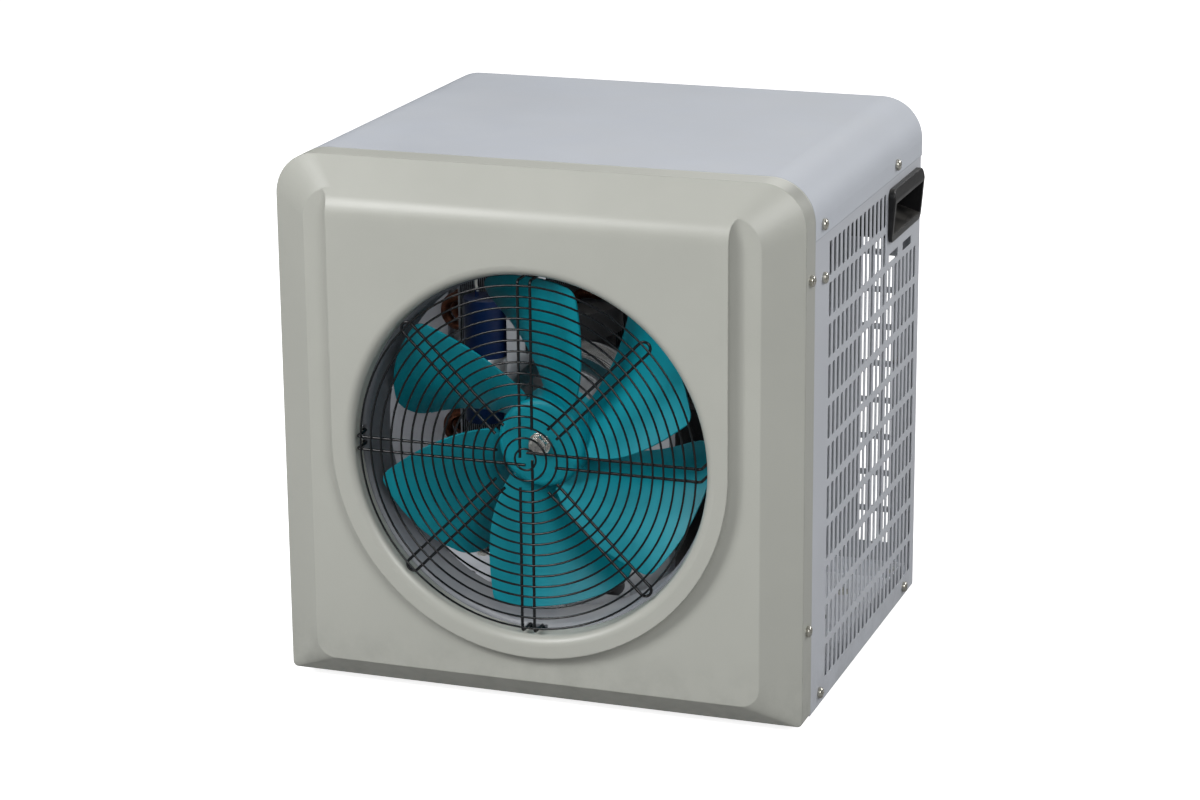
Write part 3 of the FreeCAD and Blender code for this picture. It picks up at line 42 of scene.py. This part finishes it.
class Tree:
    """Small wrapper for building a node material."""

    def __init__(self, name):
        self.m = bpy.data.materials.new(name)
        self.m.use_nodes = True
        self.t = self.m.node_tree
        self.t.nodes.clear()
        self.out = self.n("ShaderNodeOutputMaterial")
        self.b = self.n("ShaderNodeBsdfPrincipled")
        self.t.links.new(self.b.outputs[0], self.out.inputs[0])
        self.co = self.n("ShaderNodeTexCoord").outputs["Object"]
        self.geo = self.n("ShaderNodeNewGeometry")

    def n(self, kind, **kw):
        node = self.t.nodes.new(kind)
        for k, v in kw.items():
            setattr(node, k, v)
        return node

    def put(self, sock, v):
        if isinstance(v, bpy.types.NodeSocket):
            self.t.links.new(v, sock)
        elif v is not None:
            if isinstance(v, (tuple, list)) and len(v) == 3 and sock.type == "RGBA":
                v = (*v, 1.0)
            sock.default_value = v

    def noise(self, scale, detail=3.0, rough=0.55, co=None, dist=0.0):
        n = self.n("ShaderNodeTexNoise")
        self.put(n.inputs["Vector"], co or self.co)
        n.inputs["Scale"].default_value = scale
        n.inputs["Detail"].default_value = detail
        n.inputs["Roughness"].default_value = rough
        n.inputs["Distortion"].default_value = dist
        return n.outputs["Fac"]

    def voronoi(self, scale, feature="F1", out="Distance", co=None):
        n = self.n("ShaderNodeTexVoronoi", feature=feature)
        self.put(n.inputs["Vector"], co or self.co)
        n.inputs["Scale"].default_value = scale
        return n.outputs[out]

    def math(self, op, a, b=0.0, c=0.0, clamp=False):
        n = self.n("ShaderNodeMath", operation=op, use_clamp=clamp)
        self.put(n.inputs[0], a)
        self.put(n.inputs[1], b)
        if op in ("MULTIPLY_ADD", "SMOOTH_MIN", "COMPARE"):
            self.put(n.inputs[2], c)
        return n.outputs[0]

    def remap(self, v, a, b, c=0.0, d=1.0, smooth=False):
        n = self.n("ShaderNodeMapRange", interpolation_type="SMOOTHSTEP" if smooth else "LINEAR", clamp=True)
        self.put(n.inputs["Value"], v)
        for k, x in (("From Min", a), ("From Max", b), ("To Min", c), ("To Max", d)):
            self.put(n.inputs[k], x)
        return n.outputs["Result"]

    def mix(self, f, a, b, blend="MIX"):
        n = self.n("ShaderNodeMix", data_type="RGBA", blend_type=blend, clamp_factor=True)
        self.put(n.inputs[0], f)
        self.put(n.inputs[6], a)
        self.put(n.inputs[7], b)
        return n.outputs[2]

    def xyz(self, v=None):
        n = self.n("ShaderNodeSeparateXYZ")
        self.put(n.inputs[0], v or self.co)
        return n.outputs

    def vec(self, x, y, z):
        n = self.n("ShaderNodeCombineXYZ")
        for i, v in enumerate((x, y, z)):
            self.put(n.inputs[i], v)
        return n.outputs[0]

    def scale(self, s, v=None):
        n = self.n("ShaderNodeVectorMath", operation="MULTIPLY")
        self.put(n.inputs[0], v or self.co)
        n.inputs[1].default_value = s
        return n.outputs[0]

    def round_normal(self, radius, samples=4):
        n = self.n("ShaderNodeBevel", samples=samples)
        n.inputs["Radius"].default_value = radius
        return n.outputs[0]

    def edge(self, radius, samples=4):
        """0 on flats, rising towards 1 at corners tighter than radius."""
        bev = self.round_normal(radius, samples)
        n = self.n("ShaderNodeVectorMath", operation="DOT_PRODUCT")
        self.put(n.inputs[0], bev)
        self.put(n.inputs[1], self.geo.outputs["Normal"])
        return self.remap(n.outputs["Value"], 0.985, 0.72, 0.0, 1.0), bev

    def up(self, a=0.55, b=0.98):
        z = self.xyz(self.geo.outputs["Normal"])[2]
        return self.remap(z, a, b, 0.0, 1.0, True)

    def bump(self, h, strength, dist=0.0003, normal=None):
        n = self.n("ShaderNodeBump")
        n.inputs["Strength"].default_value = strength
        n.inputs["Distance"].default_value = dist
        self.put(n.inputs["Height"], h)
        if normal is not None:
            self.put(n.inputs["Normal"], normal)
        return n.outputs[0]

    def finish(self, color, rough, metal=0.0, normal=None, coat=None, coat_rough=0.2, spec=None, sheen=None, emission=None, alpha=None, transmission=None):
        b = self.b
        self.put(b.inputs["Base Color"], color)
        self.put(b.inputs["Roughness"], rough)
        self.put(b.inputs["Metallic"], metal)
        if normal is not None:
            self.put(b.inputs["Normal"], normal)
        if coat is not None:
            self.put(b.inputs["Coat Weight"], coat)
            self.put(b.inputs["Coat Roughness"], coat_rough)
        if spec is not None:
            self.put(b.inputs["Specular IOR Level"], spec)
        if sheen is not None:
            self.put(b.inputs["Sheen Weight"], sheen)
        if emission is not None:
            self.put(b.inputs["Emission Color"], emission[0])
            self.put(b.inputs["Emission Strength"], emission[1])
        if alpha is not None:
            self.put(b.inputs["Alpha"], alpha)
        if transmission is not None:
            self.put(b.inputs["Transmission Weight"], transmission)
        return self.m


def srgb(r, g, b):
    def f(c):
        c /= 255.0
        return c / 12.92 if c <= 0.04045 else ((c + 0.055) / 1.055) ** 2.4
    return (f(r), f(g), f(b))


def mul(c, k):
    return tuple(min(1.0, v * k) for v in c)


def coat_paint(name, col, rough=0.42, peel=900.0, peel_s=0.10, edge_col=None, edge_r=0.0012, dust=0.10, wear=0.35, top=None, spec=0.45):
    """Powder coated sheet or painted moulding: fine orange peel, cloudy roughness, edges rubbed a little brighter, dust on top faces."""
    t = Tree(name)
    e, bev = t.edge(edge_r)
    cloud = t.noise(9.0, 4.0, 0.6)
    fine = t.noise(peel, 2.0, 0.5)
    speck = t.noise(peel * 2.6, 1.0, 0.5)
    c = t.mix(t.remap(cloud, 0.3, 0.7), mul(col, 0.965), mul(col, 1.03))
    c = t.mix(t.remap(speck, 0.35, 0.65, 0.0, 0.35), c, mul(col, 0.93))
    # faint run marks and hand dirt near the ground
    z = t.xyz()[2]
    low = t.remap(z, 0.075, 0.008, 0.0, 1.0, True)
    grime = t.math("MULTIPLY", low, t.remap(t.noise(38.0, 5.0, 0.65), 0.42, 0.72, 0.0, 0.55))
    c = t.mix(grime, c, mul(col, 0.66))
    d = t.math("MULTIPLY", t.up(), t.remap(t.noise(16.0, 6.0, 0.7), 0.35, 0.75, 0.0, dust * 3))
    c = t.mix(d, c, srgb(205, 202, 192))
    scuff = t.remap(t.noise(140.0, 4.0, 0.7), 0.42, 0.62)
    w = t.math("MULTIPLY", t.math("MULTIPLY", e, scuff), wear)
    c = t.mix(w, c, edge_col or mul(col, 1.35))
    if top:
        # painted light: faces turned to the sky are painted lighter as if lit from above, and a painted highlight line
        # runs along their rear edge at y = top[1]
        c = t.mix(t.up(0.80, 0.98), c, mul(col, top[0]))
        line = t.remap(t.xyz()[1], top[1] - 0.0022, top[1] - 0.0008, 0.0, 0.85, True)
        c = t.mix(t.math("MULTIPLY", line, t.up(0.2, 0.6)), c, mul(col, top[0] * 1.22))
    r = t.remap(cloud, 0.25, 0.75, rough - 0.05, rough + 0.07)
    r = t.math("ADD", r, t.math("MULTIPLY", d, 0.6))
    r = t.math("ADD", r, t.math("MULTIPLY", grime, 0.25), clamp=True)
    nrm = t.bump(fine, peel_s, 0.0002, bev)
    return t.finish(c, r, 0.0, nrm, spec=spec)


def plastic(name, col, rough=0.45, grain=2600.0, grain_s=0.14, wear=0.3, edge_r=0.0009, light=None, dust=0.10, spec=0.5):
    """Moulded plastic: fine spark-eroded grain, slightly polished and paler edges, flow-line tint."""
    t = Tree(name)
    e, bev = t.edge(edge_r)
    g = t.voronoi(grain, "SMOOTH_F1")
    cloud = t.noise(22.0, 4.0, 0.6, dist=0.6)
    c = t.mix(t.remap(cloud, 0.3, 0.7), mul(col, 0.88), mul(col, 1.12))
    w = t.math("MULTIPLY", e, t.remap(t.noise(230.0, 3.0, 0.7), 0.4, 0.65, 0.15, wear))
    c = t.mix(w, c, light or tuple(min(1.0, v * 2.2 + 0.02) for v in col))
    d = t.math("MULTIPLY", t.up(), t.remap(t.noise(40.0, 6.0, 0.7), 0.35, 0.75, 0.0, dust * 2.5))
    c = t.mix(d, c, srgb(150, 146, 138))
    r = t.remap(cloud, 0.25, 0.75, rough - 0.06, rough + 0.08)
    r = t.math("SUBTRACT", r, t.math("MULTIPLY", w, 0.2))
    r = t.math("ADD", r, t.math("MULTIPLY", d, 0.8), clamp=True)
    return t.finish(c, r, 0.0, t.bump(g, grain_s, 0.00012, bev), spec=spec)


def metal(name, col, rough=0.3, brush=None, brush_s=0.08, spot=None, wear=None, edge_r=0.0005, metallic=1.0):
    """Bare or plated metal: directional brush or turning marks, blotchy roughness, small tarnish spots."""
    t = Tree(name)
    e, bev = t.edge(edge_r)
    co = t.scale(brush) if brush else t.co
    line = t.noise(1.0 if brush else 700.0, 3.0, 0.6, co=co)
    cloud = t.noise(60.0, 4.0, 0.65)
    c = t.mix(t.remap(cloud, 0.3, 0.7), mul(col, 0.82), mul(col, 1.1))
    if spot:
        s = t.remap(t.noise(420.0, 3.0, 0.7), 0.58, 0.72, 0.0, 0.8)
        c = t.mix(s, c, spot)
    c = t.mix(t.math("MULTIPLY", e, 0.6), c, mul(col, 1.3))
    r = t.remap(line, 0.3, 0.7, rough - 0.08, rough + 0.1)
    return t.finish(c, r, metallic, t.bump(line, brush_s, 0.0002, bev))


def galvanised(name):
    t = Tree(name)
    e, bev = t.edge(0.0006)
    cell = t.n("ShaderNodeTexVoronoi", feature="F1")
    t.put(cell.inputs["Vector"], t.co)
    cell.inputs["Scale"].default_value = 130.0
    shade = t.xyz(cell.outputs["Color"])[0]
    c = t.mix(shade, srgb(150, 153, 156), srgb(192, 195, 198))
    c = t.mix(t.remap(t.noise(26.0, 5.0, 0.7), 0.45, 0.75, 0.0, 0.35), c, srgb(120, 120, 116))
    r = t.remap(shade, 0.0, 1.0, 0.30, 0.52)
    return t.finish(c, r, 0.85, t.bump(t.noise(900.0, 2.0), 0.06, 0.0002, bev))


def fins(name):
    """Edge-on view of a stack of thin aluminium fins: painted shade in the gaps between bright fin edges, patches of
    bent fins, the tube rows showing as painted shade.
    """
    t = Tree(name)
    x, y, z = t.xyz()[:3]
    ph = t.math("FRACT", t.math("MULTIPLY", t.math("ADD", x, t.math("MULTIPLY", t.noise(45.0, 2.0), 0.0009)), 560.0))
    fin = t.remap(t.math("ABSOLUTE", t.math("SUBTRACT", ph, 0.5)), 0.12, 0.30, 1.0, 0.0, True)
    bent = t.remap(t.noise(70.0, 3.0, 0.6), 0.60, 0.74, 0.0, 0.6)
    lit = t.mix(t.noise(30.0, 3.0), srgb(120, 126, 132), srgb(158, 163, 168))
    # painted shade: near-black between the fin edges stands for the shade deep inside the stack
    c = t.mix(fin, srgb(10, 11, 12), lit)
    c = t.mix(bent, c, srgb(112, 116, 120))
    # painted shade along the tube rows
    row = t.math("FRACT", t.math("MULTIPLY", t.math("SUBTRACT", z, 0.0163), 1.0 / 0.0254))
    rl = t.remap(t.math("ABSOLUTE", t.math("SUBTRACT", row, 0.5)), 0.44, 0.5, 0.0, 0.35)
    c = t.mix(rl, c, srgb(30, 31, 33))
    return t.finish(c, t.remap(fin, 0, 1, 0.8, 0.38), t.math("MULTIPLY", fin, 0.8), t.bump(fin, 0.9, 0.0006))


def foam(name):
    t = Tree(name)
    cell = t.voronoi(1500.0, "SMOOTH_F1")
    big = t.noise(30.0, 4.0, 0.6)
    c = t.mix(t.remap(big, 0.3, 0.7), srgb(22, 22, 24), srgb(40, 40, 42))
    # painted shade: the cell hollows are darkened as the shade inside the pores
    c = t.mix(t.remap(cell, 0.0, 0.5, 0.5, 0.0), c, srgb(12, 12, 13))
    h = t.math("ADD", t.math("MULTIPLY", big, 3.0), cell)
    return t.finish(c, 0.88, 0.0, t.bump(h, 0.55, 0.0006), spec=0.25, sheen=0.15)


def rubber(name, col=(0.018, 0.018, 0.019)):
    t = Tree(name)
    e, bev = t.edge(0.001)
    c = t.mix(t.remap(t.noise(80.0, 5.0, 0.7), 0.35, 0.7), mul(col, 0.8), tuple(v * 1.5 + 0.006 for v in col))
    c = t.mix(t.math("MULTIPLY", e, 0.35), c, (0.07, 0.068, 0.064))
    return t.finish(c, t.remap(t.noise(300.0, 3.0), 0.3, 0.7, 0.62, 0.8), 0.0, t.bump(t.noise(1400.0, 2.0), 0.15, 0.0002, bev), spec=0.35)


def lamination(name):
    t = Tree(name)
    y = t.xyz()[1]
    ph = t.math("FRACT", t.math("MULTIPLY", y, 1.0 / 0.0009))
    gap = t.remap(t.math("ABSOLUTE", t.math("SUBTRACT", ph, 0.5)), 0.30, 0.46, 0.0, 1.0, True)
    c = t.mix(t.noise(90.0, 3.0), srgb(150, 150, 150), srgb(196, 196, 194))
    c = t.mix(gap, c, srgb(46, 46, 48))
    c = t.mix(t.remap(t.noise(50.0, 5.0, 0.7), 0.60, 0.75, 0.0, 0.5), c, srgb(110, 84, 62))
    return t.finish(c, t.remap(gap, 0, 1, 0.34, 0.7), 0.85, t.bump(t.math("SUBTRACT", 1.0, gap), 0.5, 0.0003))


def copper(name):
    t = Tree(name)
    ox = t.remap(t.noise(55.0, 5.0, 0.7), 0.38, 0.68)
    c = t.mix(ox, srgb(122, 78, 58), srgb(70, 46, 36))
    c = t.mix(t.remap(t.noise(190.0, 3.0, 0.6), 0.62, 0.74, 0.0, 0.6), c, srgb(46, 38, 34))
    return t.finish(c, t.remap(ox, 0, 1, 0.24, 0.5), 1.0, t.bump(t.noise(240.0, 3.0), 0.12, 0.0003))


def board(name):
    t = Tree(name)
    x, y, z = t.xyz()[:3]
    grid = t.voronoi(420.0, "F1", "Color")
    pad = t.remap(t.voronoi(420.0), 0.18, 0.22, 1.0, 0.0)
    base = t.mix(t.noise(60.0), srgb(18, 74, 44), srgb(28, 96, 58))
    flat = t.math("GREATER_THAN", y, 0.1328)
    c = t.mix(t.math("MULTIPLY", pad, 0.8), base, srgb(176, 170, 150))
    c = t.mix(flat, t.mix(t.xyz(grid)[0], srgb(28, 28, 30), srgb(64, 62, 60)), c)
    return t.finish(c, 0.45, 0.0, t.bump(t.voronoi(420.0), 0.2, 0.0003))


def window(name):
    t = Tree(name)
    c = t.mix(t.noise(35.0, 3.0), srgb(14, 15, 17), srgb(24, 25, 28))
    r = t.remap(t.noise(300.0, 5.0, 0.8), 0.45, 0.7, 0.06, 0.16)
    return t.finish(c, r, 0.0, t.bump(t.noise(20.0), 0.03, 0.0003), coat=0.6, coat_rough=0.04)


def cable(name):
    t = Tree(name)
    c = t.mix(t.remap(t.noise(120.0, 4.0, 0.7), 0.35, 0.7), (0.012, 0.012, 0.013), (0.03, 0.03, 0.031))
    return t.finish(c, 0.5, 0.0, t.bump(t.noise(900.0, 3.0), 0.12, 0.0002), spec=0.4)


M = {}
# top= paints the upward faces of the front lighter, with a painted highlight line along the flange's rear edge
M["front"] = coat_paint("front_moulding", srgb(168, 169, 162), 0.34, 1100.0, 0.05, srgb(196, 196, 189), 0.0014, 0.02, 0.20, top=(1.32, -0.16495))
M["cover"] = coat_paint("cover_powder_coat", mul(srgb(170, 174, 181), 1.28), 0.52, 900.0, 0.08, srgb(200, 203, 208), 0.0010, 0.04, 0.35, spec=0.28)
M["side"] = coat_paint("side_powder_coat", mul(srgb(168, 171, 177), 1.27), 0.44, 900.0, 0.08, srgb(205, 208, 212), 0.0006, 0.03, 0.40)
M["guard"] = coat_paint("guard_dip_coat", (0.004, 0.005, 0.006), 0.17, 500.0, 0.03, (0.012, 0.014, 0.016), 0.0003, 0.0, 0.10, spec=0.30)
M["black_plastic"] = plastic("black_grained_plastic", (0.006, 0.006, 0.0065), 0.34, 2600.0, 0.08, wear=0.10, spec=0.42)
M["dark_plastic"] = plastic("dark_grey_plastic", (0.045, 0.047, 0.050), 0.45)
M["shroud"] = coat_paint("shroud_coat", srgb(94, 97, 102), 0.46, 900.0, 0.08, srgb(170, 173, 178), 0.0008, 0.05, 0.30)
M["bracket"] = coat_paint("bracket_coat", srgb(150, 153, 157), 0.48, 900.0, 0.08, srgb(180, 183, 187), 0.0006, 0.04, 0.40, spec=0.3)
M["fan"] = plastic("impeller_plastic", (0.0003, 0.236, 0.300), 0.42, 1600.0, 0.05, 0.20, 0.0010, (0.02, 0.42, 0.47), 0.0, spec=0.28)
M["rubber"] = rubber("black_rubber")
M["bright"] = metal("bright_plate", srgb(214, 213, 208), 0.20, edge_r=0.0007)
M["zinc"] = metal("zinc_plate", srgb(196, 194, 184), 0.30, spot=srgb(150, 138, 104))
M["steel"] = metal("turned_steel", srgb(180, 180, 178), 0.26, brush=(60.0, 3000.0, 60.0), brush_s=0.15)
M["lamination"] = lamination("stator_laminations")
M["cast"] = metal("die_cast_aluminium", srgb(132, 133, 135), 0.38, brush_s=0.25, edge_r=0.0008)
M["galvanised"] = galvanised("galvanised_sheet")
M["blue"] = plastic("blue_capacitor_case", srgb(14, 38, 82), 0.32, 1800.0, 0.05, 0.15, 0.0006)
M["black_paint"] = coat_paint("black_enamel", (0.014, 0.014, 0.015), 0.28, 300.0, 0.10, (0.06, 0.055, 0.05), 0.001, 0.15, 0.3)
M["foam"] = foam("closed_cell_foam")
M["fins"] = fins("fin_stack")
M["copper"] = copper("copper_tube")
M["titanium"] = metal("titanium_tube", srgb(150, 148, 145), 0.30, brush=(400.0, 400.0, 900.0))
M["board"] = board("circuit_board")
M["window"] = window("smoked_window")
M["button"] = plastic("button_caps", srgb(150, 152, 154), 0.45, wear=0.2)
M["cable"] = cable("cable_sheath")

finish_of = {
    "front_panel": "front", "top_cover": "cover", "right_side_panel": "side", "left_side_panel": "side", "rear_panel": "side", "base_pan": "side",
    "fan_guard": "guard", "right_handle": "black_plastic", "left_handle": "black_plastic", "rubber_feet": "rubber", "foot_screws": "zinc",
    "front_panel_screws": "zinc", "top_cover_screws": "zinc", "side_panel_screws": "zinc", "rear_panel_screws": "zinc", "fan_shroud": "shroud",
    "fan_impeller": "fan", "fan_nut": "bright", "motor_shaft": "steel", "motor_rotor": "steel", "motor_stator_core": "lamination",
    "motor_front_bell": "cast", "motor_rear_bell": "cast", "motor_bearings": "steel", "motor_bolts": "zinc", "motor_bracket": "bracket",
    "motor_capacitor": "blue", "capacitor_clamp": "galvanised", "compressor_shell": "black_paint", "compressor_jacket": "foam",
    "compressor_grommets": "rubber", "compressor_bolts": "zinc", "accumulator": "black_paint", "evaporator_fins": "fins", "evaporator_tubes": "copper",
    "evaporator_end_plates": "galvanised", "exchanger_shell": "dark_plastic", "exchanger_coil": "titanium", "suction_line": "foam",
    "discharge_line": "copper", "liquid_line": "copper", "inlet_water_pipe": "dark_plastic", "outlet_water_pipe": "dark_plastic",
    "inlet_union_nut": "black_plastic", "outlet_union_nut": "black_plastic", "inlet_hose_tail": "dark_plastic", "outlet_hose_tail": "dark_plastic",
    "union_o_rings": "rubber", "condensate_spout": "dark_plastic", "electrical_box": "galvanised", "electrical_box_lid": "galvanised",
    "control_board": "board", "controller_housing": "black_plastic", "controller_window": "window", "button_1": "button", "button_2": "button",
    "button_3": "button", "button_4": "button", "cable_gland": "black_plastic", "mains_cable": "cable"}

CRISP = {"front_panel": 21.0}
for name, o in nodes.items():
    key = finish_of[name]
    o.data.materials.clear()
    o.data.materials.append(M[key])
    o.data.polygons.foreach_set("use_smooth", [True] * len(o.data.polygons))
    if name in CRISP:
        a = o.data.attributes.get("custom_normal")
        if a is not None:
            o.data.attributes.remove(a)
        o.data.set_sharp_from_angle(angle=math.radians(CRISP[name]))

# ------------------------------------------------------------------ wiring that rides on the cabinet
OY = -22.95        # the drawing's y values in millimetres, moved to the part's origin


def spline(pts, n=14):
    """Catmull-Rom points through pts."""
    P = [Vector(p) for p in pts]
    P = [P[0] * 2 - P[1]] + P + [P[-1] * 2 - P[-2]]
    res = []
    for i in range(1, len(P) - 2):
        a, b, c, d = P[i - 1:i + 3]
        for j in range(n):
            t = j / n
            res.append(0.5 * ((2 * b) + (c - a) * t + (2 * a - 5 * b + 4 * c - d) * t * t + (3 * b - a - 3 * c + d) * t ** 3))
    res.append(P[-2])
    return res


def sweep(name, runs, mat, ribs=0.0, pitch=0.003):
    """Round wire or ribbed sleeve along each run of (points in mm, radius in mm), closed at both ends."""
    bm = bmesh.new()
    for pts, rad in runs:
        path = spline([(x / 1000, (y + OY) / 1000, z / 1000) for x, y, z in pts], 26 if ribs else 12)
        if ribs:
            dense, left = [path[0]], 0.0
            for a, b in zip(path, path[1:]):
                m = max(1, int((b - a).length / 0.0005))
                dense += [a.lerp(b, (q + 1) / m) for q in range(m)]
            path = dense
        up, run, prev, rings = Vector((0.3, 0.2, 1.0)).normalized(), 0.0, None, []
        for i, p in enumerate(path):
            d = (path[min(i + 1, len(path) - 1)] - path[max(i - 1, 0)]).normalized()
            up = (up - d * up.dot(d)).normalized()
            side = d.cross(up)
            if prev is not None:
                run += (p - prev).length
            prev = p
            r = rad / 1000 * (1.0 + ribs * (1.0 if (run / pitch) % 1.0 < 0.5 else 0.0))
            rings.append([bm.verts.new(p + (side * math.cos(q * math.tau / 12) + up * math.sin(q * math.tau / 12)) * r) for q in range(12)])
        for a, b in zip(rings, rings[1:]):
            for q in range(12):
                bm.faces.new((a[q], a[(q + 1) % 12], b[(q + 1) % 12], b[q]))
        bm.faces.new(list(reversed(rings[0])))
        bm.faces.new(rings[-1])
    bmesh.ops.recalc_face_normals(bm, faces=bm.faces)
    me = bpy.data.meshes.new(name)
    bm.to_mesh(me)
    bm.free()
    me.polygons.foreach_set("use_smooth", [True] * len(me.polygons))
    me.materials.append(mat)
    o = bpy.data.objects.new(name, me)
    bpy.context.scene.collection.objects.link(o)
    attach(o, "cabinet")
    return o


M["white_wire"] = plastic("white_wire_sleeve", srgb(214, 214, 208), 0.42, 3000.0, 0.05, 0.1, 0.0002, srgb(225, 225, 220))
M["blue_wire"] = plastic("blue_wire_sleeve", srgb(40, 70, 130), 0.42, 3000.0, 0.05, 0.1, 0.0002)
M["loom"] = rubber("ribbed_loom_sleeve", (0.014, 0.014, 0.015))
sweep("capacitor_leads", [
    ([(-92.6, -47.5, 288), (-92.5, -49, 298), (-84, -53, 307), (-69, -56, 300), (-56, -58, 280), (-44, -56, 262), (-33, -50, 244), (-29, -46, 237)], 1.2),
    ([(-79.4, -47.5, 288), (-78.5, -51, 296), (-70, -58, 298), (-60, -61, 286), (-50, -60, 268), (-40, -57, 252), (-31, -50, 239), (-27, -45, 231)], 1.2)], M["white_wire"])
sweep("motor_loom", [([(24, -42, 226), (34, -22, 236), (46, 4, 252), (54, 40, 262), (56, 76, 258), (57, 97.0, 254)], 3.6)], M["loom"], 0.16)
sweep("sensor_lead", [([(-30, 121, 240), (-24, 112, 262), (-6, 106, 288), (18, 101, 292), (44, 97.2, 288)], 1.1)], M["cable"])

# ------------------------------------------------------------------ floor, light, camera
def plane(name, size, z, mat):
    me = bpy.data.meshes.new(name)
    bm = bmesh.new()
    bmesh.ops.create_grid(bm, x_segments=1, y_segments=1, size=size)
    bm.to_mesh(me)
    bm.free()
    o = bpy.data.objects.new(name, me)
    o.location.z = z
    bpy.context.scene.collection.objects.link(o)
    me.materials.append(mat)
    return o


FLOOR_BOUNCE, FLOOR_GLOW = 0.34, 0.85
t = Tree("studio_floor")
fc = t.mix(t.remap(t.noise(2.2, 4.0, 0.6), 0.3, 0.7), (0.80, 0.80, 0.80), (0.83, 0.83, 0.83))
# the floor looks white to the camera and throws little light back up under the cabinet
seen = t.n("ShaderNodeLightPath").outputs["Is Camera Ray"]
fc = t.mix(seen, (FLOOR_BOUNCE, FLOOR_BOUNCE, FLOOR_BOUNCE), fc)
t.finish(fc, t.remap(t.noise(6.0, 4.0), 0.3, 0.7, 0.55, 0.7), 0.0, t.bump(t.noise(500.0, 2.0), 0.02, 0.0002), spec=0.2,
         emission=((1, 1, 1), t.math("MULTIPLY", seen, FLOOR_GLOW)))
floor = plane("studio_floor", 14.0, 0.0, t.m)

WORLD = 0.05
LIGHTS = [
    ("front_left_light", (-1.6, -2.3, 1.9), (0, 0, 0.22), (1.2, 1.2), 75.0),
    ("front_right_light", (1.7, -2.2, 1.7), (0, 0, 0.22), (1.2, 1.2), 43.5),
    ("rear_right_light", (2.2, 2.0, 1.6), (0, 0, 0.2), (1.2, 1.2), 50.0),
    ("rear_light", (0.0, 2.7, 2.0), (0, 0, 0.3), (1.8, 1.0), 12.0),
    ("top_light", (-0.1, 0.2, 2.8), (0, 0, 0.2), (1.8, 1.8), 9.0),
    ("top_front_light", (-0.3, -1.6, 2.9), (0, 0, 0.2), (1.6, 1.6), 6.0),
]
world = bpy.data.worlds.new("studio_world")
bpy.context.scene.world = world
world.use_nodes = True
bg = world.node_tree.nodes["Background"]
bg.inputs[0].default_value = (1.0, 1.0, 1.0, 1.0)
bg.inputs[1].default_value = WORLD


def area(name, loc, aim, size, power, col=(1, 1, 1)):
    d = bpy.data.lights.new(name, "AREA")
    d.shape = "RECTANGLE"
    d.size, d.size_y = size
    d.energy = power
    d.color = col
    o = bpy.data.objects.new(name, d)
    bpy.context.scene.collection.objects.link(o)
    o.location = loc
    o.rotation_euler = (Vector(aim) - Vector(loc)).to_track_quat("-Z", "Y").to_euler()
    o.visible_camera = False
    return o


for light in LIGHTS:
    area(*light)
# a weak soft light inside the cabinet, behind the top of the front, so that the parts behind the guard can be seen
area("inner_fill", (0.02, -0.125, 0.368), (-0.05, -0.02, 0.08), (0.20, 0.05), 0.14)



def group(name, names):
    g = bpy.data.collections.new(name)
    for n in names:
        g.objects.link(nodes[n])
    return g


# two washes that only some of the parts inside the cabinet catch, as if they came in through the fan opening
casting = group("casting_parts", ("front_panel", "fan_shroud", "motor_bracket", "motor_stator_core", "motor_front_bell", "motor_rear_bell", "base_pan", "rear_panel", "evaporator_fins"))
for name, loc, aim, size, power, names in (
        ("wall_wash", (0.5, -1.3, 0.35), (-0.05, 0.0, 0.22), (0.3, 0.3), 9.0, ("left_side_panel", "motor_bracket", "motor_stator_core", "motor_bolts", "capacitor_clamp")),
        ("ring_wash", (-0.35, -0.7, 1.6), (0.0, -0.15, 0.1), (0.5, 0.5), 26.0, ("fan_shroud", "base_pan"))):
    o = area(name, loc, aim, size, power)
    o.light_linking.receiver_collection = group(name + "_parts", names)
    o.light_linking.blocker_collection = casting

az, el, roll = 0.341, 0.28512, -0.00828
k = 1.025
target = Vector((-8.93855 * k, -22.95, 181.91124 * k + 8.0)) / 1000.0
back = Vector((math.sin(az) * math.cos(el), -math.cos(az) * math.cos(el), math.sin(el)))
fwd = -back
right = fwd.cross(Vector((0, 0, 1))).normalized()
up = right.cross(fwd)
r2 = math.cos(roll) * right + math.sin(roll) * up
u2 = -math.sin(roll) * right + math.cos(roll) * up
cam_d = bpy.data.cameras.new("camera")
cam_d.sensor_width = 36.0
cam_d.sensor_fit = "HORIZONTAL"
cam_d.lens = 3268.28 / 1200.0 * 36.0
cam_d.clip_end = 60.0
cam = bpy.data.objects.new("camera", cam_d)
bpy.context.scene.collection.objects.link(cam)
loc = target + back * (2509.005 * k / 1000.0)
cam.matrix_world = Matrix(((r2.x, u2.x, back.x, loc.x), (r2.y, u2.y, back.y, loc.y), (r2.z, u2.z, back.z, loc.z), (0, 0, 0, 1)))
bpy.context.scene.camera = cam
bpy.context.scene.view_settings.view_transform = "Standard"
